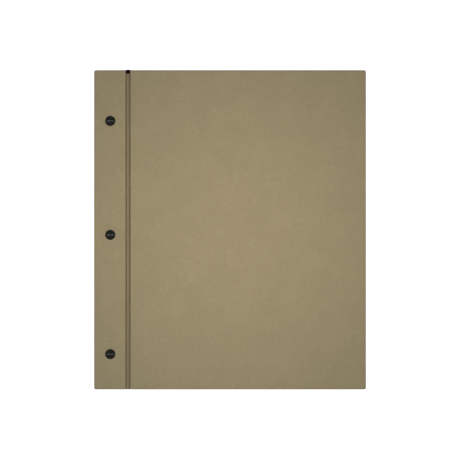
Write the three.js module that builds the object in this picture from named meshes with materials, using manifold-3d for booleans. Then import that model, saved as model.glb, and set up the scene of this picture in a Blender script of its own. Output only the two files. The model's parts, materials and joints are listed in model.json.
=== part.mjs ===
// A post-bound scrapbook album lying on its back cover, in millimetres, +Z up.
// The binding strips are on the -X side, the head of the album is at +Y and the front cover faces +Z.
// The origin is under the middle of the closed album, on the surface that it lies on.
import * as THREE from "three";
import { mergeVertices } from "three/addons/utils/BufferGeometryUtils.js";
import Module from "manifold-3d";

const wasm = await Module();
wasm.setup();

// Covers
const COVER_WIDTH = 252;
const COVER_HEIGHT = 296;
const CORNER_RADIUS = 2.2;
const EDGE_ROUNDING = 0.9;
const SKIN = 0.5; // leatherette
const BOARD = 2.2; // greyboard
const LINING = 0.2; // endpaper and hinge cloth
const TURN_IN = 15; // leatherette folded over onto the inside of the boards
const STRIP_TURN_IN = 7.5; // the same, at the spine edge
const GAP = 0.05; // air between pieces that lie on each other
const WRAP = 2 * SKIN + BOARD + 2 * GAP;
const COVER = WRAP + GAP + LINING;

// Hinge gutter between the binding strip and the panel
const STRIP_WIDTH = 28.45;
const GUTTER_WIDTH = 5.7;
const GUTTER_DEPTH = 1.6;
const HEAD_NOTCH = 3;
const HALF_SPLIT = 0.15; // half the slit between what stays and what turns
const CLOTH_ON_PANEL = 16;

// Leaves
const LEAF_COUNT = 10;
const LEAF_PITCH = 1;
const SHEET = 0.5; // cardstock
const STUB = 0.95; // the doubled binding edge
const STACK_PLAY = 0.1;
const PAGE_WIDTH = 216;
const LEAF_HEIGHT = 286;
const PAGE_CORNER = 3;
const STUB_FROM_POST = 11;
const STUB_TO_HINGE = 0.75;
const PAGE_FROM_HINGE = 1;

// Screw posts
const POST_FROM_SPINE = 15.1;
const POST_HEIGHTS = { head: 248.8, middle: 143.3, tail: 32.9 }; // above the tail edge
const FASTENER_HEAD_RADIUS = 4.65;
const FASTENER_HEAD = 1;
const HEAD_CHAMFER = 0.35;
const CROWN_DROP = 0.12; // how far the crown falls towards the chamfer
const CROWN_FLAT_FROM_RIM = 1.2;
const SHANK_CHAMFER = 0.4;
const BARREL_RADIUS = 2.5;
const BORE_RADIUS = 1.8;
const SHANK_RADIUS = 1.6;
const POST_HOLE_RADIUS = 2.8;
const SHANK_LENGTH = 9;
const SLOT_WIDTH = 1.3;
const SLOT_DEPTH = 0.6;
const SLOT_CUTTER_LENGTH = 11;
const ROUND_SEGMENTS = 24;
const CORNER_SEGMENTS = 6;
const ROUNDING_SEGMENTS = 2;

// Places worked out from the sizes above
const LEFT = -COVER_WIDTH / 2;
const RIGHT = COVER_WIDTH / 2;
const TAIL = -COVER_HEIGHT / 2;
const HEAD = COVER_HEIGHT / 2;
const STRIP_RIGHT = LEFT + STRIP_WIDTH;
const PANEL_LEFT = STRIP_RIGHT + GUTTER_WIDTH;
const HINGE_X = (STRIP_RIGHT + PANEL_LEFT) / 2;
const POST_X = LEFT + POST_FROM_SPINE;
const BACK_FACE = FASTENER_HEAD + GAP;
const STACK_BOTTOM = BACK_FACE + COVER + STACK_PLAY;
const STACK_TOP = STACK_BOTTOM + LEAF_COUNT * LEAF_PITCH;
const FRONT_FACE = STACK_TOP + STACK_PLAY + COVER;

const FINISHES = {
  leatherette: { color: 0x9d8f6e, roughness: 0.62, metalness: 0 },
  greyboard: { color: 0x8c8578, roughness: 0.95, metalness: 0 },
  hingeCloth: { color: 0x141414, roughness: 0.9, metalness: 0 },
  endpaper: { color: 0xd9cfb4, roughness: 0.85, metalness: 0 },
  cardstock: { color: 0xede4cc, roughness: 0.9, metalness: 0 },
  gunmetal: { color: 0x1b1b1d, roughness: 0.4, metalness: 0.9 },
};

const album = new THREE.Group();

function addPiece(name, geometry, finish) {
  const mesh = new THREE.Mesh(geometry, new THREE.MeshStandardMaterial(FINISHES[finish]));
  mesh.name = name;
  album.add(mesh);
  return mesh;
}

// A closed geometry as a solid that can be joined and cut.
function toSolid(geometry) {
  const bare = geometry.clone();
  bare.deleteAttribute("normal");
  bare.deleteAttribute("uv");
  const merged = mergeVertices(bare, 1e-4);
  const triangles = [];
  const index = merged.index.array;
  for (let i = 0; i < index.length; i += 3) {
    const [a, b, c] = index.slice(i, i + 3);
    if (a !== b && b !== c && c !== a) triangles.push(a, b, c);
  }
  return new wasm.Manifold(
    new wasm.Mesh({
      numProp: 3,
      vertProperties: new Float32Array(merged.attributes.position.array),
      triVerts: new Uint32Array(triangles),
    }),
  );
}

function toGeometry(solid) {
  const { vertProperties, triVerts } = solid.getMesh();
  const geometry = new THREE.BufferGeometry();
  geometry.setAttribute("position", new THREE.BufferAttribute(vertProperties, 3));
  geometry.setIndex(new THREE.BufferAttribute(triVerts, 1));
  geometry.computeVertexNormals();
  return geometry;
}

// A rectangle whose corners are rounded on its left side, its right side or both.
function outline(x0, x1, y0, y1, leftRadius, rightRadius) {
  const shape = new THREE.Shape();
  const corner = (x, y, radius, startAngle) => {
    if (radius > 0) shape.absarc(x, y, radius, startAngle, startAngle + Math.PI / 2);
    else shape.lineTo(x, y);
  };
  shape.moveTo(x0 + leftRadius, y0);
  corner(x1 - rightRadius, y0 + rightRadius, rightRadius, -Math.PI / 2);
  corner(x1 - rightRadius, y1 - rightRadius, rightRadius, 0);
  corner(x0 + leftRadius, y1 - leftRadius, leftRadius, Math.PI / 2);
  corner(x0 + leftRadius, y0 + leftRadius, leftRadius, Math.PI);
  return shape;
}

// The outline as a plate between two heights, given in either order.
function plate(shape, zA, zB, rounding = 0) {
  const bottom = Math.min(zA, zB);
  const thickness = Math.abs(zB - zA);
  const geometry = new THREE.ExtrudeGeometry(shape, {
    depth: thickness - 2 * rounding,
    bevelEnabled: rounding > 0,
    bevelThickness: rounding,
    bevelSize: rounding,
    bevelOffset: -rounding,
    bevelSegments: ROUNDING_SEGMENTS,
    curveSegments: CORNER_SEGMENTS,
  });
  return geometry.translate(0, 0, bottom + rounding);
}

// A solid turned about a post's axis, from [radius, height] points that run up its outside.
function turned(profile) {
  const points = profile.map(([radius, z]) => new THREE.Vector2(radius, z));
  return new THREE.LatheGeometry(points, ROUND_SEGMENTS).rotateX(Math.PI / 2);
}

const postPlaces = Object.entries(POST_HEIGHTS).map(([name, height]) => ({ name, y: TAIL + height }));

// The shape with a round hole for each screw post.
function withPostHoles(shape) {
  for (const { y } of postPlaces) {
    const hole = new THREE.Path();
    hole.absarc(POST_X, y, POST_HOLE_RADIUS, 0, 2 * Math.PI, true);
    shape.holes.push(hole);
  }
  return shape;
}

function cutPostHoles(solid) {
  const drillLength = 2 * FRONT_FACE;
  const drill = new THREE.CylinderGeometry(POST_HOLE_RADIUS, POST_HOLE_RADIUS, drillLength, ROUND_SEGMENTS);
  drill.rotateX(Math.PI / 2);
  let left = solid;
  for (const { y } of postPlaces) {
    left = left.subtract(toSolid(drill.clone().translate(POST_X, y, 0)));
  }
  return left;
}

// The leatherette of one part of a cover: a skin over the board, turned in round the inside, with half of the
// gutter's membrane on its hinge side.
function wrapSolid(depthToZ, x0, x1, leftRadius, rightRadius, hingeAtRight) {
  const inner = (radius) => Math.max(radius - SKIN - GAP, 0);
  const outside = outline(x0, x1, TAIL, HEAD, leftRadius, rightRadius);
  const body = plate(outside, depthToZ(0), depthToZ(WRAP), EDGE_ROUNDING);
  const hollow = outline(
    x0 + SKIN,
    x1 - SKIN,
    TAIL + SKIN,
    HEAD - SKIN,
    inner(leftRadius),
    inner(rightRadius),
  );
  const boardRoom = plate(hollow, depthToZ(SKIN), depthToZ(WRAP - SKIN));
  const openingLeft = hingeAtRight ? x0 + STRIP_TURN_IN : x0 + SKIN;
  const openingRight = hingeAtRight ? x1 - SKIN : x1 - TURN_IN;
  const opening = outline(openingLeft, openingRight, TAIL + TURN_IN, HEAD - TURN_IN, 0, 0);
  const insideOpening = plate(opening, depthToZ(WRAP / 2), depthToZ(2 * WRAP));
  const membraneLeft = hingeAtRight ? x1 - SKIN / 2 : HINGE_X + HALF_SPLIT;
  const membraneRight = hingeAtRight ? HINGE_X - HALF_SPLIT : x0 + SKIN / 2;
  const strip = outline(membraneLeft, membraneRight, TAIL + EDGE_ROUNDING, HEAD - HEAD_NOTCH, 0, 0);
  const membrane = plate(strip, depthToZ(GUTTER_DEPTH), depthToZ(GUTTER_DEPTH + SKIN));
  const skin = toSolid(body).subtract(toSolid(boardRoom)).subtract(toSolid(insideOpening));
  return skin.add(toSolid(membrane));
}

// One cover. depthToZ gives the height of a layer from its depth below the cover's outer face.
function addCover(side, depthToZ) {
  const margin = SKIN + GAP;
  const boardTop = depthToZ(margin);
  const boardBottom = depthToZ(margin + BOARD);
  const liningTop = depthToZ(WRAP + GAP);
  const liningBottom = depthToZ(COVER);
  const liningEdge = HEAD - LEAF_HEIGHT / 2;

  const strip = wrapSolid(depthToZ, LEFT, STRIP_RIGHT, CORNER_RADIUS, 0, true);
  addPiece(`${side}_strip_wrap`, toGeometry(cutPostHoles(strip)), "leatherette");
  const panel = wrapSolid(depthToZ, PANEL_LEFT, RIGHT, 0, CORNER_RADIUS, false);
  addPiece(`${side}_panel_wrap`, toGeometry(panel), "leatherette");

  const boardRadius = CORNER_RADIUS - margin;
  const [boardTail, boardHead] = [TAIL + margin, HEAD - margin];
  const stripBoard = outline(LEFT + margin, STRIP_RIGHT - margin, boardTail, boardHead, boardRadius, 0);
  addPiece(`${side}_strip_board`, plate(withPostHoles(stripBoard), boardTop, boardBottom), "greyboard");
  const panelBoard = outline(PANEL_LEFT + margin, RIGHT - margin, boardTail, boardHead, 0, boardRadius);
  addPiece(`${side}_panel_board`, plate(panelBoard, boardTop, boardBottom), "greyboard");

  const liningTail = TAIL + liningEdge;
  const clothEdge = HINGE_X + CLOTH_ON_PANEL;
  const linings = {
    hinge_cloth_strip_side: withPostHoles(
      outline(LEFT + liningEdge, HINGE_X - HALF_SPLIT, liningTail, HEAD, 0, 0),
    ),
    hinge_cloth_panel_side: outline(HINGE_X + HALF_SPLIT, clothEdge, liningTail, HEAD, 0, 0),
    endpaper: outline(clothEdge + GAP, RIGHT - liningEdge, liningTail, HEAD - liningEdge, 0, 0),
  };
  for (const [name, shape] of Object.entries(linings)) {
    const finish = name === "endpaper" ? "endpaper" : "hingeCloth";
    addPiece(`${side}_${name}`, plate(shape, liningTop, liningBottom), finish);
  }
}

// Leaf 1 is the top one. The sheet runs through the bottom of its stub and out into the page.
function addLeaf(number) {
  const bottom = STACK_BOTTOM + (LEAF_COUNT - number) * LEAF_PITCH;
  const name = `leaf_${String(number).padStart(2, "0")}`;
  const [tail, head] = [-LEAF_HEIGHT / 2, LEAF_HEIGHT / 2];
  const stub = outline(POST_X - STUB_FROM_POST, HINGE_X - STUB_TO_HINGE, tail, head, 0, 0);
  addPiece(`${name}_stub`, plate(withPostHoles(stub), bottom, bottom + STUB), "cardstock");
  const page = outline(HINGE_X + PAGE_FROM_HINGE, HINGE_X + PAGE_WIDTH, tail, head, 0, PAGE_CORNER);
  addPiece(`${name}_page`, plate(page, bottom, bottom + SHEET), "cardstock");
}

// The barrel has its head under the back cover and is open at the top, where the screw goes in.
function postSolid() {
  const top = FRONT_FACE - GUTTER_DEPTH;
  return turned([
    [0, 0],
    [FASTENER_HEAD_RADIUS - HEAD_CHAMFER, 0],
    [FASTENER_HEAD_RADIUS, HEAD_CHAMFER],
    [FASTENER_HEAD_RADIUS, FASTENER_HEAD],
    [BARREL_RADIUS, FASTENER_HEAD],
    [BARREL_RADIUS, top],
    [BORE_RADIUS, top],
    [BORE_RADIUS, BACK_FACE + BOARD],
    [0, BACK_FACE + BOARD],
  ]);
}

function screwSolid() {
  const seat = FRONT_FACE + GAP;
  const crown = seat + FASTENER_HEAD;
  const tip = seat - SHANK_LENGTH;
  const blank = turned([
    [0, tip],
    [SHANK_RADIUS - SHANK_CHAMFER, tip],
    [SHANK_RADIUS, tip + SHANK_CHAMFER],
    [SHANK_RADIUS, seat],
    [FASTENER_HEAD_RADIUS, seat],
    [FASTENER_HEAD_RADIUS, crown - CROWN_DROP - HEAD_CHAMFER],
    [FASTENER_HEAD_RADIUS - HEAD_CHAMFER, crown - CROWN_DROP],
    [FASTENER_HEAD_RADIUS - CROWN_FLAT_FROM_RIM, crown],
    [0, crown],
  ]);
  const slot = new THREE.BoxGeometry(SLOT_CUTTER_LENGTH, SLOT_WIDTH, 2 * SLOT_DEPTH);
  return toGeometry(toSolid(blank).subtract(toSolid(slot.translate(0, 0, crown))));
}

addCover("front", (depth) => FRONT_FACE - depth);
addCover("back", (depth) => BACK_FACE + depth);
for (let number = 1; number <= LEAF_COUNT; number++) addLeaf(number);
for (const { name, y } of postPlaces) {
  addPiece(`${name}_post`, postSolid(), "gunmetal").position.set(POST_X, y, 0);
  addPiece(`${name}_screw`, screwSolid(), "gunmetal").position.set(POST_X, y, 0);
}

export default album;
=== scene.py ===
"""The looks of a post-bound scrapbook album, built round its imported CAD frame. Lengths are in metres."""

import json
import math
import random

import bpy
import bmesh
from mathutils import Matrix, Vector, noise


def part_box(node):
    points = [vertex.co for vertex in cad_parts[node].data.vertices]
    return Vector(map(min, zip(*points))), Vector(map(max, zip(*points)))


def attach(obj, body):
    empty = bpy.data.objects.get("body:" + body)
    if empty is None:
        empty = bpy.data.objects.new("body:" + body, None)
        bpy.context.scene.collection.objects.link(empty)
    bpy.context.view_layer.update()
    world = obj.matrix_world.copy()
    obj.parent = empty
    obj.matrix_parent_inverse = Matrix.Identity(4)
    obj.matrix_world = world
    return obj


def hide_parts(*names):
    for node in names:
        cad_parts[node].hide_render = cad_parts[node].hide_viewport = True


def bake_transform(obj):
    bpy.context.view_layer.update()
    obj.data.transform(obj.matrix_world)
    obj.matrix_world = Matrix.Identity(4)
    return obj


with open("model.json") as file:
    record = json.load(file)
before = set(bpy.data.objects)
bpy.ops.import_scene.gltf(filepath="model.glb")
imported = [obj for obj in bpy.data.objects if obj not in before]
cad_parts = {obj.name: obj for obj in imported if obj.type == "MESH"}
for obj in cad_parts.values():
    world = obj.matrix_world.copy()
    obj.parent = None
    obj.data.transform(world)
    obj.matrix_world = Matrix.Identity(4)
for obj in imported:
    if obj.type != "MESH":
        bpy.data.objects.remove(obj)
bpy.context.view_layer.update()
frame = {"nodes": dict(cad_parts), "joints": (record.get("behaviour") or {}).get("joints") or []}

MM = 0.001
AXES = {joint["name"]: joint["pos_m"] for joint in frame["joints"]}
HINGE_X = AXES["front_cover_open"][0]
PAGE = "_page"
LEAVES = sorted(name.removesuffix(PAGE) for name in frame["nodes"] if name.endswith(PAGE))
POSTS = ("head", "middle", "tail")
# Each cover: which way its outer face points along Z, and the seed of its unevenness
COVERS = {"front": (1, 3.1), "back": (-1, 8.7)}

# Covers: depths are measured from a cover's outer face towards the leaves.
STRIP_LOW, STRIP_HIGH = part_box("front_strip_wrap")
PANEL_LOW, PANEL_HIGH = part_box("front_panel_wrap")
STRIP_BOARD_LOW, STRIP_BOARD_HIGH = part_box("front_strip_board")
PANEL_BOARD_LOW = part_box("front_panel_board")[0]
LEFT, RIGHT = STRIP_LOW.x, PANEL_HIGH.x
TAIL, HEAD = PANEL_LOW.y, PANEL_HIGH.y
SKIN = 0.45 * MM
SKIN_AND_AIR = STRIP_BOARD_LOW.x - LEFT
GUTTER_LEFT = STRIP_BOARD_HIGH.x + SKIN_AND_AIR
GUTTER_RIGHT = PANEL_BOARD_LOW.x - SKIN_AND_AIR
WRAP_DEPTH = PANEL_HIGH.z - PANEL_LOW.z
LINING_DEPTH = STRIP_HIGH.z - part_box("front_endpaper")[0].z
CORNER_RADIUS = 1.7 * MM
EDGE_RADIUS = 1.15 * MM
RIM_SHARE = 0.45  # the most of a thin edge's thickness that its rounding takes
TURN_IN = 15 * MM
TURN_IN_STATIONS = (3 * MM, 8 * MM, TURN_IN)
MITRE_REACH = 22 * MM

# The leatherette lies very slightly unevenly near its edges. Along them its colour darkens, partly from
# rubbing and partly as painted shade on the rounded rims.
FACE_DROP = 0.03 * MM
RIM_DROP = 0.02 * MM
SWAY = 0.03 * MM
SWAYS_PER_METRE = 38
SWAY_REACH = 9 * MM
EDGE_DARKEST_AT = 0.4 * EDGE_RADIUS
EDGE_DARK_WIDTH = 0.9 * MM
TURN_WEAR_AND_SHADE = 0.4

# The pressed gutter: a sunk floor with a crease along each side
GUTTER_HALF = (GUTTER_RIGHT - GUTTER_LEFT) / 2
GUTTER_FLOOR = 0.75 * MM
SHOULDER = 0.7 * MM
CREASE_DEPTH = 0.9 * MM
CREASE_WIDTH = 0.58 * MM
CREASE_FROM_HINGE = 1.36 * MM
# painted shade over the gutter's floor, as a share of the creases' painted shade
FLOOR_SHADE_SHARE = 0.1
GUTTER_UNDERSIDE = 3.05 * MM
NOTCH_HALF_WIDTH = 2.45 * MM
NOTCH_DEPTH = 3.1 * MM
NOTCH_REACH = 9 * MM

# Mesh stations over the wraps
RIM_ANGLES = (0, 18, 36, 54, 72, 90)
TURN_ANGLES = (0, 22, 45, 67, 90)
PAST_RIM = 0.8 * MM
PAST_GUTTER = 1.6 * MM
STRIP_STEP = 1.6 * MM
GUTTER_STEP = 0.22 * MM
PANEL_STEP = 2.4 * MM
NOTCH_STEP = 0.7 * MM

# Hinge cloth: it is cut back beside the tab that fills the notch.
CLOTH = 0.2 * MM
CLOTH_OVERHANG = 0.7 * MM
CLOTH_CUT_BACK = 5 * MM
CLOTH_END = HEAD + CLOTH_OVERHANG
CLOTH_UNDER_GUTTER = 0.1 * MM
CLOTH_PAST_GUTTER = 1.5 * MM
TAB_EDGE = 0.3 * MM
TAB_HALF = NOTCH_HALF_WIDTH + TAB_EDGE
TAB_ROUNDING = 1.1 * MM
TAB_REACH = 6 * MM
CLOTH_STEP = 2 * MM
CLOTH_BEND_STEP = 0.4 * MM
TAB_STEP = 0.6 * MM
AIR = 0.02 * MM

# Endpaper: it sinks from the turned-in leatherette down to the board.
PAPER = 0.2 * MM
PAPER_SINK = 0.32 * MM
SINK = (-0.6 * MM, 2.2 * MM)
SLOPE_INNER = 3 * MM
SLOPE_OUTER = 2 * MM
PAPER_CORE_STEP = 6 * MM
PAPER_RIM_STEP = 2.5 * MM
PAPER_SLOPE_STEP = 0.5 * MM

# Leaves: a doubled stub, two score lines at the hinge and a page that is free to wave.
LEAF_SEED = 100
SWAY_DRAWS = 6
HINGE_ZONE = 8 * MM
SCORES = (HINGE_X, HINGE_X + 2.2 * MM)
SCORE_DEPTH = 0.1 * MM
SCORE_WIDTH = 0.35 * MM
FOLD_SQUEEZE = 0.25 * MM
FOLD_EASE = (-0.1 * MM, 0.5 * MM)  # from the stub's folded edge
STUB_FALL = (-0.4 * MM, 0.3 * MM)  # from the stub's hinge side
PAGE_CORNER = 3 * MM
WAVE = 0.07 * MM
SLOW_WAVE, QUICK_WAVE, WAVE_SLANT, WAVE_START = 17, 31, 11, 3
SLIP_ACROSS = 0.25 * MM
SLIP_ALONG = 0.35 * MM

# Mesh stations over a leaf: insets are measured inwards from the fold, the stub's hinge side and the edges.
FOLD_INSETS = (0, 0.3 * MM)
STUB_CORE = (1.5 * MM, 1 * MM)
STUB_END_INSETS = (0.9 * MM, 0.3 * MM)
CORNER_INSETS = (PAGE_CORNER, 1.2 * MM, 0.4 * MM, 0)
STUB_STEP = 4 * MM
SCORE_STEP = 0.35 * MM
PAGE_COLUMN_STEP = 8 * MM
PAGE_ROW_STEP = 9 * MM

# Screws and posts
POST_HOLE_RADIUS = 2.8 * MM
SHANK_RADIUS = 1.6 * MM
SHANK_TAPER = 0.4 * MM
BARREL_RADIUS = 2.5 * MM
BORE_RADIUS = 1.8 * MM
BORE_FLOOR = 2.25 * MM
HEAD_HEIGHT = 1 * MM
RIM_ROUNDING = 0.22 * MM
CROWN_STEP = 0.34 * MM
CROWN_FALL = 0.3 * MM
DOME_DROP = 0.02 * MM
DOME_SHARES = (0.9, 0.8, 0.65, 0.45, 0.25)
RIM_TURN = (0, 20, 40, 60, 80)
SEAT_WEAR, RIM_WEAR, DOME_WEAR, CROWN_WEAR, MOUTH_WEAR = 0.2, 0.05, 0.15, 0.1, 0.5
SLOT_WIDTH = 1.3 * MM
SLOT_DEPTH = 0.6 * MM
SLOT_REACH = 2.2
SLOT_CUTS = 8
SLOT_RUB = (0.5, 0.95)  # the rubbing fades between these shares of the head's radius
NEAR_FLOOR = 0.1 * MM
SCREW_SOFTNESS = 0.06 * MM
POST_SOFTNESS = 0.05 * MM
POST_CHAMFER = 0.15 * MM
MOUTH_CHAMFER = 0.2 * MM
THREAD_PITCH = 0.5 * MM
THREAD_DEPTH = 0.22 * MM
THREAD_ROOT = 0.06 * MM
THREAD_CREST = (0.21 * MM, 0.29 * MM)
THREAD_BELOW_SEAT = 1.1 * MM
PLAIN_SHANK = 0.6 * MM
ROUND_SEGMENTS = 64
DRILL_SEGMENTS = 48

SHARP = math.radians(40)
BEVEL_ABOVE = math.radians(50)


def smoothstep(value, start, end):
    t = min(max((value - start) / (end - start), 0), 1)
    return t * t * (3 - 2 * t)


def bell(value, width):
    return math.exp(-((value / width) ** 2))


# ---------- node materials ----------

# Colours are linear RGBA.
TAN_DARK = (0.314, 0.258, 0.153, 1)
TAN_LIGHT = (0.336, 0.276, 0.162, 1)
TAN_GREY = (0.318, 0.265, 0.163, 1)
TAN_SHADE = (0.27, 0.218, 0.129, 1)
TAN_PALE = (0.385, 0.32, 0.198, 1)
# darker tan along the edges: partly rubbing, partly painted shade on the rounded rims
TAN_EDGE_WEAR_AND_SHADE = (0.262, 0.21, 0.122, 1)
# painted shade: a near-black tan laid into the gutter's creases
TAN_CREASE_SHADE = (0.1, 0.08, 0.052, 1)
CARD_LIGHT = (0.86, 0.76, 0.545, 1)
CARD_DARK = (0.83, 0.73, 0.515, 1)
PAPER_LIGHT = (0.66, 0.59, 0.43, 1)
PAPER_DARK = (0.63, 0.56, 0.405, 1)
FLECK_SHADE = 0.75
WEAVE_LOW = (0.003, 0.003, 0.003, 1)
WEAVE_HIGH = (0.009, 0.009, 0.0095, 1)
WEAVE_SLUB = (0.013, 0.013, 0.013, 1)
STEEL_DARK = (0.003, 0.003, 0.0035, 1)
STEEL_LIGHT = (0.007, 0.007, 0.008, 1)
STEEL_BARE = (0.12, 0.117, 0.115, 1)
BOARD_DARK = (0.20, 0.18, 0.145, 1)
BOARD_LIGHT = (0.33, 0.305, 0.25, 1)
FLOOR_DARK = (0.93, 0.93, 0.93, 1)
FLOOR_LIGHT = (0.95, 0.95, 0.95, 1)
WHITE = (1, 1, 1, 1)

# The parts of a noise's range that patterns use
MIDDLE = (0.35, 0.65)
WIDE = (0.3, 0.7)
UPPER = (0.35, 0.7)
HIGHER = (0.4, 0.7)
LOWER = (0.3, 0.65)
PEAKS = (0.66, 0.74)
BARE = (0.3, 1.0)

# How fine each pattern is, in features per metre
CLOUDS, BLOTCHES, FLECKS, PEBBLES, GRAIN = 45, 160, 360, 1500, 2600
VEINS, CRINKLES, RUBBING = 55, 160, 400
PAPER_CLOUDS, PAPER_FLECKS = 90, 1900
PAPER_FIBRES = (900, 3400, 3400)
CLOTH_SLUBS, BOARD_FLECKS, FLOOR_TONES = 700, 900, 6
STEEL_PATCHES, STEEL_RUBBING = 350, 1400
THREAD_SPACING = 0.55 * MM

# How wide the leatherette's lines are, as a share of the cells between them, and how they wander
VEIN_WIDTH, CRINKLE_WIDTH = 0.05, 0.1
WARP_FINENESS, WARP_REACH, PATCH_FINENESS = 1.1, 0.66, 0.5
PATCHES = (0.45, 0.62)

# How strongly each pattern tints the colour under it
BLOTCH_TINT, VEIN_TINT, CRINKLE_TINT, FLECK_TINT, GRAIN_TINT = 0.5, 0.16, 0.45, 0.45, 0.22
PAPER_FLECK_TINT, SLUB_TINT = 0.35, 0.4

# How high each pattern stands, and how deep the veins go
PEBBLE_RISE, GRAIN_RISE, VEIN_DEPTH = 0.06 * MM, 0.03 * MM, 0.12 * MM
FIBRE_RISE, WEAVE_RISE, STEEL_RISE, BOARD_RISE = 0.03 * MM, 0.06 * MM, 0.01 * MM, 0.1 * MM
CARD_TOOTH, PAPER_TOOTH = 0.5, 0.6

LEATHERETTE_ROUGHNESS = (0.58, 0.68)
PAPER_ROUGHNESS = (0.82, 0.92)
CLOTH_ROUGHNESS = (0.85, 0.97)
STEEL_ROUGHNESS = (0.36, 0.52)
BOARD_ROUGHNESS = (0.88, 0.97)
FLOOR_ROUGHNESS = 0.9


class Nodes:
    """A material's node tree, with one call for each node."""

    def __init__(self, name):
        self.material = bpy.data.materials.new(name)
        self.material.use_nodes = True
        self.tree = self.material.node_tree
        self.shader = self.tree.nodes["Principled BSDF"]

    def add(self, kind, inputs=(), **settings):
        node = self.tree.nodes.new(kind)
        for key, value in settings.items():
            setattr(node, key, value)
        for key, value in dict(inputs).items():
            self.put(node.inputs[key], value)
        return node

    def put(self, socket, value):
        if isinstance(value, bpy.types.NodeSocket):
            self.tree.links.new(value, socket)
        else:
            socket.default_value = value

    def where(self, on_frame=False):
        """The resting place of each point, so that a pattern stays put when the piece bends."""
        if on_frame:
            return self.add("ShaderNodeTexCoord").outputs["Object"]
        return self.add("ShaderNodeAttribute", attribute_name="rest").outputs["Vector"]

    def mark(self, name):
        """A value that the mesh holds at each point."""
        return self.add("ShaderNodeAttribute", attribute_name=name).outputs["Fac"]

    def noise(self, place, scale, detail=3, roughness=0.55, distortion=0):
        inputs = {
            "Vector": place,
            "Scale": scale,
            "Detail": detail,
            "Roughness": roughness,
            "Distortion": distortion,
        }
        return self.add("ShaderNodeTexNoise", inputs).outputs["Fac"]

    def cells(self, place, scale, feature):
        inputs = {"Vector": place, "Scale": scale}
        return self.add("ShaderNodeTexVoronoi", inputs, feature=feature).outputs["Distance"]

    def math(self, operation, *values):
        node = self.add("ShaderNodeMath", operation=operation)
        for socket, value in zip(node.inputs, values):
            self.put(socket, value)
        return node.outputs[0]

    def move(self, operation, *values, **named):
        inputs = {**dict(enumerate(values)), **named}
        return self.add("ShaderNodeVectorMath", inputs, operation=operation).outputs[0]

    def spread(self, value, used, to=(0.0, 1.0)):
        """Smoothly maps the used part of a value's range onto another range."""
        ends = {"From Min": used[0], "From Max": used[1], "To Min": to[0], "To Max": to[1]}
        inputs = {"Value": value, **ends}
        return self.add("ShaderNodeMapRange", inputs, interpolation_type="SMOOTHSTEP").outputs["Result"]

    def mix(self, factor, a, b):
        node = self.add("ShaderNodeMix", data_type="RGBA")
        self.put(node.inputs["Factor"], factor)
        first, second = [socket for socket in node.inputs if socket.type == "RGBA"]
        self.put(first, a)
        self.put(second, b)
        return next(socket for socket in node.outputs if socket.type == "RGBA")

    def bump(self, height, distance, strength=1.0, under=None):
        inputs = {"Height": height, "Distance": distance, "Strength": strength}
        if under is not None:
            inputs["Normal"] = under
        return self.add("ShaderNodeBump", inputs).outputs["Normal"]

    def finish(self, colour, roughness, normal=None, **plain):
        self.put(self.shader.inputs["Base Color"], colour)
        self.put(self.shader.inputs["Roughness"], roughness)
        if normal is not None:
            self.put(self.shader.inputs["Normal"], normal)
        for key, value in plain.items():
            self.shader.inputs[key.replace("_", " ")].default_value = value
        return self.material


def leatherette():
    n = Nodes("leatherette")
    place = n.where()
    cloud = n.noise(place, CLOUDS, detail=4, roughness=0.6)
    grain = n.noise(place, GRAIN, detail=2, roughness=0.6)
    vein = wrinkles(n, place, VEINS, VEIN_WIDTH)
    pebble = n.cells(place, PEBBLES, "SMOOTH_F1")
    normal = n.bump(pebble, PEBBLE_RISE, strength=0.55)
    normal = n.bump(grain, GRAIN_RISE, strength=0.6, under=normal)
    normal = n.bump(n.math("MULTIPLY", vein, -1), VEIN_DEPTH, strength=0.5, under=normal)
    colour = rubbing_and_painted_shade(n, place, tan(n, place, cloud, grain, vein))
    rough = n.spread(cloud, WIDE, to=LEATHERETTE_ROUGHNESS)
    return n.finish(colour, rough, normal, Specular_IOR_Level=0.32)


def wrinkles(n, place, scale, width):
    """Branching lines that come and go over the skin."""
    inputs = {"Vector": place, "Scale": WARP_FINENESS * scale, "Detail": 2}
    shift = n.add("ShaderNodeTexNoise", inputs).outputs["Color"]
    centred = n.move("SUBTRACT", shift, (0.5, 0.5, 0.5))
    warped = n.move("ADD", place, n.move("SCALE", centred, Scale=WARP_REACH / scale))
    line = n.spread(n.cells(warped, scale, "DISTANCE_TO_EDGE"), (0.0, width), to=(1.0, 0.0))
    patches = n.spread(n.noise(place, PATCH_FINENESS * scale, detail=2), PATCHES)
    return n.math("MULTIPLY", line, patches)


def tan(n, place, cloud, grain, vein):
    """The skin's own colour: clouds and blotches, darker veins, flecks and grain, and pale crinkles."""
    blotch = n.noise(place, BLOTCHES, detail=3, roughness=0.5, distortion=0.6)
    crinkle = wrinkles(n, place, CRINKLES, CRINKLE_WIDTH)
    fleck = n.noise(place, FLECKS, detail=4, roughness=0.7)
    colour = n.mix(n.spread(cloud, MIDDLE), TAN_DARK, TAN_LIGHT)
    colour = n.mix(n.spread(blotch, WIDE, to=(0.0, BLOTCH_TINT)), colour, TAN_GREY)
    colour = n.mix(n.math("MULTIPLY", vein, VEIN_TINT), colour, TAN_SHADE)
    colour = n.mix(n.math("MULTIPLY", crinkle, CRINKLE_TINT), colour, TAN_PALE)
    colour = n.mix(n.spread(fleck, UPPER, to=(0.0, FLECK_TINT)), colour, TAN_SHADE)
    return n.mix(n.spread(grain, UPPER, to=(0.0, GRAIN_TINT)), colour, TAN_SHADE)


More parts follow.
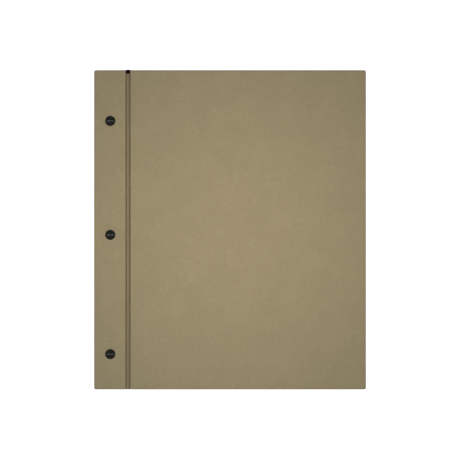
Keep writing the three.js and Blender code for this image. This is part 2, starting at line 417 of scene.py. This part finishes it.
def rubbing_and_painted_shade(n, place, colour):
    """Patchy darkening along the edges, partly rubbing and partly painted shade on the rounded rims, and
    painted shade in the pressed creases.
    """
    patchy = n.spread(n.noise(place, RUBBING), WIDE, to=WIDE)
    # partly rubbing and partly painted shade: the edges and sides are darkened in patches
    colour = n.mix(n.math("MULTIPLY", n.mark("edge"), patchy), colour, TAN_EDGE_WEAR_AND_SHADE)
    # painted shade: the creases and the gutter's floor are darkened towards a near-black tan
    return n.mix(n.mark("crease"), colour, TAN_CREASE_SHADE)


def fibre_paper(name, light, dark, tooth):
    n = Nodes(name)
    place = n.where()
    cloud = n.noise(place, PAPER_CLOUDS, detail=4)
    along_grain = n.add("ShaderNodeMapping", {"Vector": place, "Scale": PAPER_FIBRES}).outputs[0]
    fibres = n.noise(along_grain, 1, roughness=0.7)
    flecks = n.noise(place, PAPER_FLECKS, detail=1)
    fleck_colour = (*[FLECK_SHADE * c for c in dark[:3]], 1)
    colour = n.mix(n.spread(cloud, MIDDLE), light, dark)
    colour = n.mix(n.spread(flecks, PEAKS, to=(0.0, PAPER_FLECK_TINT)), colour, fleck_colour)
    normal = n.bump(fibres, FIBRE_RISE, strength=tooth)
    return n.finish(colour, n.spread(cloud, WIDE, to=PAPER_ROUGHNESS), normal, Specular_IOR_Level=0.25)


def hinge_cloth():
    n = Nodes("hinge_cloth")
    place = n.where()
    parts = n.add("ShaderNodeSeparateXYZ", {"Vector": place})
    turns = 2 * math.pi / THREAD_SPACING
    across, along = [n.math("SINE", n.math("MULTIPLY", parts.outputs[axis], turns)) for axis in "XY"]
    weave = n.math("MULTIPLY", across, along)
    slub = n.noise(place, CLOTH_SLUBS, detail=2)
    colour = n.mix(n.spread(weave, (-1, 1)), WEAVE_LOW, WEAVE_HIGH)
    colour = n.mix(n.spread(slub, HIGHER, to=(0.0, SLUB_TINT)), colour, WEAVE_SLUB)
    normal = n.bump(weave, WEAVE_RISE, strength=0.7)
    return n.finish(colour, n.spread(slub, WIDE, to=CLOTH_ROUGHNESS), normal, Specular_IOR_Level=0.1)


def gunmetal():
    n = Nodes("gunmetal")
    place = n.where()
    rubbed = n.noise(place, STEEL_RUBBING, roughness=0.6)
    patch = n.noise(place, STEEL_PATCHES, detail=2)
    colour = n.mix(n.spread(patch, MIDDLE), STEEL_DARK, STEEL_LIGHT)
    bare = n.math("MULTIPLY", n.mark("edge"), n.spread(rubbed, LOWER, to=BARE))
    colour = n.mix(bare, colour, STEEL_BARE)
    rough = n.spread(rubbed, WIDE, to=STEEL_ROUGHNESS)
    normal = n.bump(rubbed, STEEL_RISE, strength=0.4)
    return n.finish(colour, rough, normal, Metallic=0.12, Specular_IOR_Level=0.06)


def greyboard():
    n = Nodes("greyboard")
    place = n.where(on_frame=True)
    flecks = n.noise(place, BOARD_FLECKS, detail=4, roughness=0.7)
    colour = n.mix(n.spread(flecks, MIDDLE), BOARD_DARK, BOARD_LIGHT)
    normal = n.bump(flecks, BOARD_RISE, strength=0.5)
    return n.finish(colour, n.spread(flecks, WIDE, to=BOARD_ROUGHNESS), normal)


# ---------- mesh helpers ----------


def piece(name, points, faces, finish, **marks):
    """An object in one of the finishes. Each of its marks gives every point a value for its material."""
    mesh = bpy.data.meshes.new(name)
    mesh.from_pydata([tuple(p) for p in points], [], faces)
    made = bpy.data.objects.new(name, mesh)
    bpy.context.scene.collection.objects.link(made)
    for mark, values in marks.items():
        mesh.attributes.new(mark, "FLOAT", "POINT").data.foreach_set("value", values)
    mesh.materials.append(MATERIALS[finish])
    return made


def settle(made):
    """Applies the modifiers, keeps the points' resting places for the patterns and marks sharp edges."""
    graph = bpy.context.evaluated_depsgraph_get()
    mesh = bpy.data.meshes.new_from_object(made.evaluated_get(graph))
    made.modifiers.clear()
    made.data = mesh
    rest = mesh.attributes.get("rest") or mesh.attributes.new("rest", "FLOAT_VECTOR", "POINT")
    flat = [0.0] * (3 * len(mesh.vertices))
    mesh.vertices.foreach_get("co", flat)
    rest.data.foreach_set("vector", flat)
    mesh.polygons.foreach_set("use_smooth", [True] * len(mesh.polygons))
    mesh.set_sharp_from_angle(angle=SHARP)
    return made


def carve(made, build):
    """Cuts the tool that build makes out of the piece."""
    shape = bmesh.new()
    build(shape)
    mesh = bpy.data.meshes.new("tool")
    shape.to_mesh(mesh)
    shape.free()
    tool = bpy.data.objects.new("tool", mesh)
    bpy.context.scene.collection.objects.link(tool)
    cut = made.modifiers.new("cut", "BOOLEAN")
    cut.operation = "DIFFERENCE"
    cut.solver = "MANIFOLD"
    cut.object = tool
    settle(made)
    bpy.data.objects.remove(tool)
    return made


def soften(made, width):
    rounding = made.modifiers.new("soft edges", "BEVEL")
    rounding.width = width
    rounding.segments = 2
    rounding.limit_method = "ANGLE"
    rounding.angle_limit = BEVEL_ABOVE
    return made


def post_place(name):
    low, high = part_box(f"{name}_post")
    return (low.x + high.x) / 2, (low.y + high.y) / 2


def drills(shape):
    """A drill at each screw post, through the whole album."""
    length = 2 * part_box("head_screw")[1].z
    for name in POSTS:
        x, y = post_place(name)
        bmesh.ops.create_cone(
            shape,
            cap_ends=True,
            segments=DRILL_SEGMENTS,
            radius1=POST_HOLE_RADIUS,
            radius2=POST_HOLE_RADIUS,
            depth=length,
            matrix=Matrix.Translation((x, y, 0)),
        )


def steps(start, end, size):
    """Evenly spaced values from start up to, but not including, end."""
    count = max(1, round((end - start) / size))
    return [start + (end - start) * i / count for i in range(count)]


def grid_faces(columns, rows, offset=0, flip=False):
    faces = []
    for i in range(columns - 1):
        for j in range(rows - 1):
            a = offset + i * rows + j
            quad = (a, a + rows, a + rows + 1, a + 1)
            faces.append(quad[::-1] if flip else quad)
    return faces


def border_of(columns, rows, offset=0):
    """The grid's border points, once round, anticlockwise seen from +Z."""
    bottom = [i * rows for i in range(columns)]
    right = [(columns - 1) * rows + j for j in range(1, rows)]
    top = [i * rows + rows - 1 for i in range(columns - 2, -1, -1)]
    left = [j for j in range(rows - 2, 0, -1)]
    return [offset + k for k in bottom + right + top + left]


def band(lower, upper):
    """Faces between two loops of the same length, facing out when lower is below upper."""
    size = len(lower)
    return [(lower[k], lower[(k + 1) % size], upper[(k + 1) % size], upper[k]) for k in range(size)]


def corner_pull(past_x, past_y):
    """How far in x and y a point past both ends of a corner's arc moves, to round the corner."""
    if past_x == 0 or past_y == 0:
        return 0, 0
    pull = 1 - max(past_x, past_y) / math.hypot(past_x, past_y)
    return past_x * pull, past_y * pull


# ---------- leatherette wraps ----------


def in_gutter(x, within, beyond):
    """1 in the gutter and 0 outside it, with an even slope across its shoulder."""
    return 1 - smoothstep(abs(x - HINGE_X), GUTTER_HALF - within, GUTTER_HALF + beyond)


def crease(x):
    return bell(abs(x - HINGE_X) - CREASE_FROM_HINGE, CREASE_WIDTH)


def gutter_depth(x):
    """How deep the leatherette is pressed in at x."""
    return GUTTER_FLOOR * in_gutter(x, SHOULDER, SHOULDER / 2) + CREASE_DEPTH * crease(x)


def underside_depth(x):
    return WRAP_DEPTH + (GUTTER_UNDERSIDE - WRAP_DEPTH) * in_gutter(x, SHOULDER, SHOULDER)


def notch(x, y):
    """How far the head end is cut back at x, easing off down the gutter."""
    across = min(abs(x - HINGE_X) / NOTCH_HALF_WIDTH, 1)
    return NOTCH_DEPTH * math.sqrt(1 - across**4) * smoothstep(y, HEAD - NOTCH_REACH, HEAD)


def rounded(x, y):
    """Pulls a point of the square outline's corners onto the round corners."""
    past_x = max(LEFT + CORNER_RADIUS - x, 0, x - RIGHT + CORNER_RADIUS)
    past_y = max(TAIL + CORNER_RADIUS - y, 0, y - HEAD + CORNER_RADIUS)
    dx, dy = corner_pull(past_x, past_y)
    return x - math.copysign(dx, x), y - math.copysign(dy, y)


def from_edge(x, y):
    return min(x - LEFT, RIGHT - x, y - TAIL, HEAD - y)


def rim_stations():
    return [EDGE_RADIUS * (1 - math.cos(math.radians(angle))) for angle in RIM_ANGLES]


def wrap_columns():
    rim = rim_stations()
    inner = EDGE_RADIUS + PAST_RIM
    gutter = (GUTTER_LEFT - PAST_GUTTER, GUTTER_RIGHT + PAST_GUTTER)
    return (
        [LEFT + d for d in rim]
        + steps(LEFT + inner, gutter[0], STRIP_STEP)
        + steps(*gutter, GUTTER_STEP)
        + steps(gutter[1], RIGHT - inner, PANEL_STEP)
        + [RIGHT - inner]
        + [RIGHT - d for d in reversed(rim)]
    )


def wrap_rows():
    rim = rim_stations()
    inner = EDGE_RADIUS + PAST_RIM
    return (
        [TAIL + d for d in rim]
        + steps(TAIL + inner, HEAD - NOTCH_REACH, PANEL_STEP)
        + steps(HEAD - NOTCH_REACH, HEAD - inner, NOTCH_STEP)
        + [HEAD - inner]
        + [HEAD - d for d in reversed(rim)]
    )


def drawn_in(value, limit, inset):
    """Moves a border coordinate inwards at the corners, by less and less further along the edge."""
    share = max(abs(value) - limit + MITRE_REACH, 0) / MITRE_REACH
    return value - math.copysign(inset * share, value)


def rim_radius(x):
    return min(EDGE_RADIUS, RIM_SHARE * (underside_depth(x) - gutter_depth(x)))


def top_depth(x, y, seed):
    """The outer surface: rounded over at the edges, pressed in at the gutter, and very slightly uneven."""
    radius = rim_radius(x)
    into = radius - min(from_edge(x, y), radius)
    depth = gutter_depth(x) + radius - math.sqrt(max(radius * radius - into * into, 0))
    sway = SWAY * noise.noise(Vector((x * SWAYS_PER_METRE, y * SWAYS_PER_METRE, seed)))
    near_rim = 1 - smoothstep(from_edge(x, y), 0, SWAY_REACH)
    return depth + FACE_DROP + (RIM_DROP + sway) * near_rim


def rim_wear_and_shade(x, y):
    """The edge darkening, partly rubbing and partly painted shade, is strongest on the roundest part of the
    edge.
    """
    return 1 - smoothstep(abs(from_edge(x, y) - EDGE_DARKEST_AT), 0, EDGE_DARK_WIDTH)


# painted shade: how much the creases and, less, the gutter's floor are darkened
def painted_crease_shade(x):
    return min(crease(x) + FLOOR_SHADE_SHARE * in_gutter(x, SHOULDER, 0), 1)


class Skin:
    """The points of one cover's leatherette. to_z turns a depth below the outer face into a height."""

    def __init__(self, to_z):
        self.to_z = to_z
        self.points, self.edge, self.crease = [], [], []

    def put(self, x, y, inset, depth, edge):
        px, py = rounded(drawn_in(x, RIGHT, inset), drawn_in(y, HEAD, inset))
        self.points.append(Vector((px, py - notch(x, y), self.to_z(depth))))
        self.edge.append(edge)
        # the painted crease shade goes on the outer face only
        self.crease.append(painted_crease_shade(x) if depth < WRAP_DEPTH / 2 else 0)
        return len(self.points) - 1

    def side_loop(self, border, angle):
        """A loop at an angle round the lower half of the edge, from its middle down to the inside."""
        out, up = 1 - math.cos(math.radians(angle)), 1 - math.sin(math.radians(angle))
        return [
            self.put(x, y, rim_radius(x) * out, underside_depth(x) - rim_radius(x) * up, TURN_WEAR_AND_SHADE)
            for x, y in border
        ]

    def inside_loop(self, border, inset):
        return [self.put(x, y, inset, underside_depth(x), 0) for x, y in border]


def wrap(side, to_z, outward, seed):
    """One skin over both boards, pressed into the gutter and turned in round the inside."""
    skin = Skin(to_z)
    xs, ys = wrap_columns(), wrap_rows()
    for x in xs:
        for y in ys:
            skin.put(x, y, 0, top_depth(x, y, seed), rim_wear_and_shade(x, y))
    faces = grid_faces(len(xs), len(ys), flip=outward < 0)
    loops = [border_of(len(xs), len(ys))]
    border = [(xs[k // len(ys)], ys[k % len(ys)]) for k in loops[0]]
    loops += [skin.side_loop(border, angle) for angle in TURN_ANGLES]
    loops += [skin.inside_loop(border, inset) for inset in TURN_IN_STATIONS]
    for upper, lower in zip(loops, loops[1:]):
        ring = band(lower, upper)
        faces += ring if outward > 0 else [face[::-1] for face in ring]
    name = f"{side}_leatherette"
    made = piece(name, skin.points, faces, "leatherette", edge=skin.edge, crease=skin.crease)
    shell = made.modifiers.new("skin", "SOLIDIFY")
    shell.thickness = SKIN
    shell.offset = -1
    return carve(settle(made), drills)


def outer_face(side):
    """The height of a depth below the cover's outer face."""
    low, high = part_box(f"{side}_panel_wrap")
    if side == "front":
        return lambda depth: high.z - depth
    return lambda depth: low.z + depth


# ---------- flat stock: cloth, endpapers and leaves ----------


def stay(x, y):
    return 0, 0


def slab(name, xs, ys, heights, finish, shift=stay):
    """A closed sheet over a grid of stations, between two heights at each point, shifted in plan."""
    points = []
    for surface in (max, min):
        for x in xs:
            for y in ys:
                dx, dy = shift(x, y)
                points.append(Vector((x + dx, y + dy, surface(heights(x, y)))))
    count = len(xs) * len(ys)
    faces = grid_faces(len(xs), len(ys)) + grid_faces(len(xs), len(ys), count, flip=True)
    faces += band(border_of(len(xs), len(ys), count), border_of(len(xs), len(ys)))
    return settle(piece(name, points, faces, finish))


def cloth_stations(low, high):
    inner = (HINGE_X - GUTTER_HALF - CLOTH_PAST_GUTTER, HINGE_X + GUTTER_HALF + CLOTH_PAST_GUTTER)
    xs = steps(low.x, inner[0], CLOTH_STEP) + steps(*inner, CLOTH_BEND_STEP)
    xs += steps(inner[1], high.x, CLOTH_STEP) + [high.x]
    ys = steps(low.y, HEAD - TAB_REACH, 2 * CLOTH_STEP) + steps(HEAD - TAB_REACH, CLOTH_END, TAB_STEP)
    return xs, ys + [CLOTH_END]


def tab_shift(x, y):
    """Cuts the cloth back beside the tab and rounds the tab's corners."""
    across = abs(x - HINGE_X)
    at_end = smoothstep(y, HEAD - TAB_REACH, CLOTH_END)
    outside = smoothstep(across, TAB_HALF, TAB_HALF + TAB_EDGE)
    rounding = TAB_ROUNDING * min(across / TAB_HALF, 1) ** 3
    return 0, -(outside * CLOTH_CUT_BACK + (1 - outside) * rounding) * at_end


def cloth(side, to_z):
    """The black cloth behind the gutter, with a tab that fills the notch at the head."""
    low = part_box(f"{side}_hinge_cloth_strip_side")[0]
    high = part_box(f"{side}_hinge_cloth_panel_side")[1]
    rise = LINING_DEPTH - GUTTER_UNDERSIDE - CLOTH - CLOTH_UNDER_GUTTER

    def heights(x, y):
        depth = LINING_DEPTH - rise * in_gutter(x, SHOULDER, SHOULDER) - AIR
        return to_z(depth), to_z(depth - CLOTH)

    xs, ys = cloth_stations(low, high)
    made = carve(slab(f"{side}_hinge_cloth", xs, ys, heights, "hinge_cloth", tab_shift), drills)
    return made


def endpaper(side, to_z):
    """The inside lining: it lies over the turned-in leatherette and sinks to the board beyond it."""
    low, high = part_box(f"{side}_endpaper")
    right, tail, head = RIGHT - TURN_IN, TAIL + TURN_IN, HEAD - TURN_IN
    xs = steps(low.x, right - SLOPE_INNER, PAPER_CORE_STEP)
    xs += steps(right - SLOPE_INNER, right + SLOPE_OUTER, PAPER_SLOPE_STEP)
    xs += steps(right + SLOPE_OUTER, high.x, PAPER_RIM_STEP) + [high.x]
    ys = steps(low.y, tail - SLOPE_OUTER, PAPER_RIM_STEP)
    ys += steps(tail - SLOPE_OUTER, tail + SLOPE_INNER, PAPER_SLOPE_STEP)
    ys += steps(tail + SLOPE_INNER, head - SLOPE_INNER, PAPER_CORE_STEP)
    ys += steps(head - SLOPE_INNER, head + SLOPE_OUTER, PAPER_SLOPE_STEP)
    ys += steps(head + SLOPE_OUTER, high.y, PAPER_RIM_STEP) + [high.y]

    def heights(x, y):
        inside = min(right - x, y - tail, head - y)
        depth = LINING_DEPTH - PAPER_SINK * smoothstep(inside, *SINK)
        return to_z(depth), to_z(depth - PAPER)

    return slab(f"{side}_endpaper_sheet", xs, ys, heights, "endpaper")


class Leaf:
    """One sheet of cardstock: its doubled stub, the scored hinge and the page to its fore edge."""

    def __init__(self, name, number):
        self.name = name
        self.stub_low, self.stub_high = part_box(f"{name}_stub")
        self.low, self.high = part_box(f"{name}_page")
        self.free_from = self.low.x + HINGE_ZONE
        chance = random.Random(LEAF_SEED + number)
        self.sway = [chance.uniform(-1, 1) for _ in range(SWAY_DRAWS)]

    def columns(self):
        stub_low, stub_high, end = self.stub_low.x, self.stub_high.x, self.high.x
        return (
            [stub_low + inset for inset in FOLD_INSETS]
            + steps(stub_low + STUB_CORE[0], stub_high - STUB_CORE[1], STUB_STEP)
            + [stub_high - inset for inset in STUB_END_INSETS]
            + steps(stub_high, self.free_from, SCORE_STEP)
            + steps(self.free_from, end - PAGE_CORNER, PAGE_COLUMN_STEP)
            + [end - inset for inset in CORNER_INSETS]
        )

    def rows(self):
        tail, head = self.low.y, self.high.y
        return (
            [tail + inset for inset in reversed(CORNER_INSETS[1:])]
            + steps(tail + PAGE_CORNER, head - PAGE_CORNER, PAGE_ROW_STEP)
            + [head - inset for inset in CORNER_INSETS]
        )

    def wave(self, x, y):
        """How far the page lifts off its neighbour, growing towards its fore edge."""
        sway = self.sway
        slow = sway[0] * math.sin(y * SLOW_WAVE + sway[1] * WAVE_START)
        quick = sway[2] * math.sin(y * QUICK_WAVE + x * WAVE_SLANT + sway[3] * WAVE_START)
        return WAVE * smoothstep(x, self.free_from, self.high.x) * (slow + quick)

    def heights(self, x, y):
        stub, thick = self.stub_high.z - self.stub_low.z, self.high.z - self.low.z
        doubled = 1 - smoothstep(x - self.stub_high.x, *STUB_FALL)
        fold = 1 - smoothstep(x - self.stub_low.x, *FOLD_EASE)
        bottom = self.low.z + self.wave(x, y)
        top = bottom + thick + (stub - thick) * doubled
        pressed = SCORE_DEPTH * sum(bell(x - score, SCORE_WIDTH) for score in SCORES)
        squeeze = FOLD_SQUEEZE * fold
        return bottom + squeeze, top - pressed - squeeze

    def shift(self, x, y):
        """The page's round corners, and how far this leaf has slipped against the others."""
        past_x = max(x - self.high.x + PAGE_CORNER, 0)
        past_y = max(self.low.y + PAGE_CORNER - y, 0, y - self.high.y + PAGE_CORNER)
        dx, dy = corner_pull(past_x, past_y)
        across = SLIP_ACROSS * self.sway[4] * smoothstep(x, 0, self.high.x)
        along = SLIP_ALONG * self.sway[5]
        return across - dx, along - math.copysign(dy, y)

    def sheet(self):
        name = f"{self.name}_sheet"
        made = slab(name, self.columns(), self.rows(), self.heights, "cardstock", self.shift)
        return carve(made, drills)


# ---------- fasteners ----------


def lathe(profile):
    """A solid turned about Z, from (radius, height, wear) points that run up its outside."""
    points, faces, wear, rings = [], [], [], []
    for radius, z, rub in profile:
        size = 1 if radius == 0 else ROUND_SEGMENTS
        rings.append(range(len(points), len(points) + size))
        for k in range(size):
            angle = 2 * math.pi * k / ROUND_SEGMENTS
            points.append(Vector((radius * math.cos(angle), radius * math.sin(angle), z)))
            wear.append(rub)
    for lower, upper in zip(rings, rings[1:]):
        for k in range(ROUND_SEGMENTS):
            after = (k + 1) % ROUND_SEGMENTS
            if len(lower) == 1:
                faces.append((lower[0], upper[after], upper[k]))
            elif len(upper) == 1:
                faces.append((lower[k], lower[after], upper[0]))
            else:
                faces.append((lower[k], lower[after], upper[after], upper[k]))
    return points, faces, wear


def head_profile(radius, seat):
    """A low domed head from its seat to its crown, with a rounded rim and a faint turned step."""
    crown = seat + HEAD_HEIGHT
    rim_centre = crown - CROWN_STEP - RIM_ROUNDING
    profile = [(radius, seat, SEAT_WEAR)]
    for angle in map(math.radians, RIM_TURN):
        inset, rise = RIM_ROUNDING * (1 - math.cos(angle)), RIM_ROUNDING * math.sin(angle)
        profile.append((radius - inset, rim_centre + rise, RIM_WEAR))
    for share in DOME_SHARES:
        profile.append((radius * share, crown - CROWN_FALL * share**2 - DOME_DROP, DOME_WEAR))
    return profile + [(0, crown, CROWN_WEAR)]


def thread(low, high):
    """The ridges of a screw's thread between two heights."""
    root = SHANK_RADIUS - THREAD_DEPTH
    ridge = [(root, 0), (root, THREAD_ROOT)] + [(SHANK_RADIUS, rise) for rise in THREAD_CREST]
    return [(radius, base + rise, 0) for base in steps(low, high, THREAD_PITCH) for radius, rise in ridge]


def turned(name, profile, x, y):
    points, faces, wear = lathe(profile)
    made = piece(name, points, faces, "gunmetal", edge=wear)
    made.data.transform(Matrix.Translation((x, y, 0)))
    return made


def screw(name):
    low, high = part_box(f"{name}_screw")
    x, y = post_place(name)
    radius = (high.x - low.x) / 2
    seat = high.z - HEAD_HEIGHT
    profile = [
        (0, low.z, 0),
        (SHANK_RADIUS - SHANK_TAPER, low.z, 0),
        *thread(low.z + SHANK_TAPER, seat - THREAD_BELOW_SEAT),
        (SHANK_RADIUS, seat - PLAIN_SHANK, 0),
        (SHANK_RADIUS, seat, 0),
        *head_profile(radius, seat),
    ]
    made = turned(f"{name}_slotted_screw", profile, x, y)

    def slot(shape):
        bmesh.ops.create_cube(shape, size=1)
        along = [edge for edge in shape.edges if edge.verts[0].co.x != edge.verts[1].co.x]
        bmesh.ops.subdivide_edges(shape, edges=along, cuts=SLOT_CUTS, use_grid_fill=True)
        bmesh.ops.scale(shape, verts=shape.verts, vec=(SLOT_REACH * radius, SLOT_WIDTH, 2 * SLOT_DEPTH))
        bmesh.ops.translate(shape, verts=shape.verts, vec=(x, y, high.z))

    settle(soften(carve(made, slot), SCREW_SOFTNESS))
    rub_slot(made, x, radius, high.z - SLOT_DEPTH)
    return made


def rub_slot(made, x, radius, floor):
    """The slot's floor is rubbed bare by screwdrivers, less and less towards its ends."""
    edge = made.data.attributes["edge"]
    for point, mark in zip(made.data.vertices, edge.data):
        if abs(point.co.z - floor) < NEAR_FLOOR:
            mark.value = 1 - smoothstep(abs(point.co.x - x) / radius, *SLOT_RUB)


def post(name):
    low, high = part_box(f"{name}_post")
    radius = (high.x - low.x) / 2
    top = low.z + HEAD_HEIGHT
    profile = [(r, top - z, rub) for r, z, rub in reversed(head_profile(radius, 0))]
    profile += [
        (BARREL_RADIUS + POST_CHAMFER, top, 0),
        (BARREL_RADIUS, top + POST_CHAMFER, 0),
        (BARREL_RADIUS, high.z - MOUTH_CHAMFER, 0),
        (BARREL_RADIUS - MOUTH_CHAMFER, high.z, MOUTH_WEAR),
        (BORE_RADIUS + POST_CHAMFER, high.z, MOUTH_WEAR),
        (BORE_RADIUS, high.z - POST_CHAMFER, 0),
        (BORE_RADIUS, top + BORE_FLOOR, 0),
        (0, top + BORE_FLOOR, 0),
    ]
    made = turned(f"{name}_barrel_post", profile, *post_place(name))
    return settle(soften(made, POST_SOFTNESS))


# ---------- build ----------

MATERIALS = {
    "leatherette": leatherette(),
    "hinge_cloth": hinge_cloth(),
    "gunmetal": gunmetal(),
    "greyboard": greyboard(),
    "cardstock": fibre_paper("cardstock", CARD_LIGHT, CARD_DARK, CARD_TOOTH),
    "endpaper": fibre_paper("endpaper", PAPER_LIGHT, PAPER_DARK, PAPER_TOOTH),
}

for name, node in frame["nodes"].items():
    if name.endswith("_board"):
        node.data.materials.clear()
        node.data.materials.append(MATERIALS["greyboard"])

for side, (outward, seed) in COVERS.items():
    to_z = outer_face(side)
    cover = f"{side}_cover"
    skin = wrap(side, to_z, outward, seed)
    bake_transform(skin)
    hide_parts(f"{side}_strip_wrap", f"{side}_panel_wrap")
    lining = cloth(side, to_z)
    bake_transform(lining)
    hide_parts(f"{side}_hinge_cloth_strip_side", f"{side}_hinge_cloth_panel_side")
    paper = endpaper(side, to_z)
    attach(paper, cover)
    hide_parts(f"{side}_endpaper")

for number, name in enumerate(LEAVES, 1):
    leaf = Leaf(name, number)
    sheet = leaf.sheet()
    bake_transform(sheet)
    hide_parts(f"{name}_stub", f"{name}_page")

for name in POSTS:
    for made, node in ((screw(name), f"{name}_screw"), (post(name), f"{name}_post")):
        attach(made, "binding")
        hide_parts(node)

# ---------- floor, light and camera ----------

FLOOR_SWEEP = [(0, 0, 0), (2.4, 0, 0), (2.75, 0.07, 0), (2.95, 0.25, 0), (3.05, 0.6, 0), (3.1, 3.2, 0)]
SKY_COLOUR = (0.94, 0.98, 1.08, 1)
SKY_STRENGTH = {"From Min": -0.1, "From Max": 0.5, "To Min": 0.95, "To Max": 0.19}
KEY = {"place": (0, 0, 0.37), "size": 0.12, "watts": 1.05, "colour": (1, 0.975, 0.88)}
FILL = {"place": (-0.7, -0.9, 0.8), "size": 0.3, "watts": 1.5, "colour": (0.94, 1, 1.1)}
LENS = 135
SENSOR = 36
PHOTO_WIDTH = 0.4261
PHOTO_DROP = 0.00016
NEAREST, FURTHEST = 0.05, 20


def floor():
    """A plain white floor that sweeps up into a backdrop."""
    n = Nodes("floor")
    place = n.where(on_frame=True)
    tone = n.mix(n.spread(n.noise(place, FLOOR_TONES, detail=2), WIDE), FLOOR_DARK, FLOOR_LIGHT)
    material = n.finish(
        tone, FLOOR_ROUGHNESS, Specular_IOR_Level=0, Emission_Color=WHITE, Emission_Strength=1
    )
    points, faces, _ = lathe(FLOOR_SWEEP)
    mesh = bpy.data.meshes.new("floor")
    mesh.from_pydata([tuple(p) for p in points], [], faces)
    mesh.materials.append(material)
    made = bpy.data.objects.new("floor", mesh)
    bpy.context.scene.collection.objects.link(made)
    made.visible_diffuse = False
    made.visible_glossy = False
    made.visible_shadow = False


def area_light(name, place, size, watts, colour):
    """A round light that is aimed at the album."""
    data = bpy.data.lights.new(name, "AREA")
    data.shape = "DISK"
    data.size = size
    data.energy = watts
    data.color = colour
    made = bpy.data.objects.new(name, data)
    made.location = place
    made.rotation_mode = "QUATERNION"
    made.rotation_quaternion = (-Vector(place)).to_track_quat("-Z", "Y")
    made.visible_camera = False
    bpy.context.scene.collection.objects.link(made)
    return made


def studio():
    """An even sky, with the light that a white floor gives back coming from below the horizon."""
    world = bpy.data.worlds.new("studio")
    world.use_nodes = True
    nodes, links = world.node_tree.nodes, world.node_tree.links
    height = nodes.new("ShaderNodeSeparateXYZ")
    links.new(nodes.new("ShaderNodeTexCoord").outputs["Generated"], height.inputs[0])
    strength = nodes.new("ShaderNodeMapRange")
    links.new(height.outputs["Z"], strength.inputs["Value"])
    for name, value in SKY_STRENGTH.items():
        strength.inputs[name].default_value = value
    links.new(strength.outputs["Result"], nodes["Background"].inputs["Strength"])
    nodes["Background"].inputs["Color"].default_value = SKY_COLOUR
    bpy.context.scene.world = world
    area_light("key", **KEY).visible_glossy = False
    area_light("fill", **FILL)


def photo_camera():
    """Square above the album, a little below its middle."""
    data = bpy.data.cameras.new("photo")
    data.lens = LENS
    data.sensor_width = SENSOR
    data.clip_start = NEAREST
    data.clip_end = FURTHEST
    made = bpy.data.objects.new("photo", data)
    made.location = (0, -PHOTO_DROP, PANEL_HIGH.z + PHOTO_WIDTH * LENS / SENSOR)
    bpy.context.scene.collection.objects.link(made)
    bpy.context.scene.camera = made


floor()
studio()
photo_camera()
bpy.context.scene.view_settings.view_transform = "Standard"
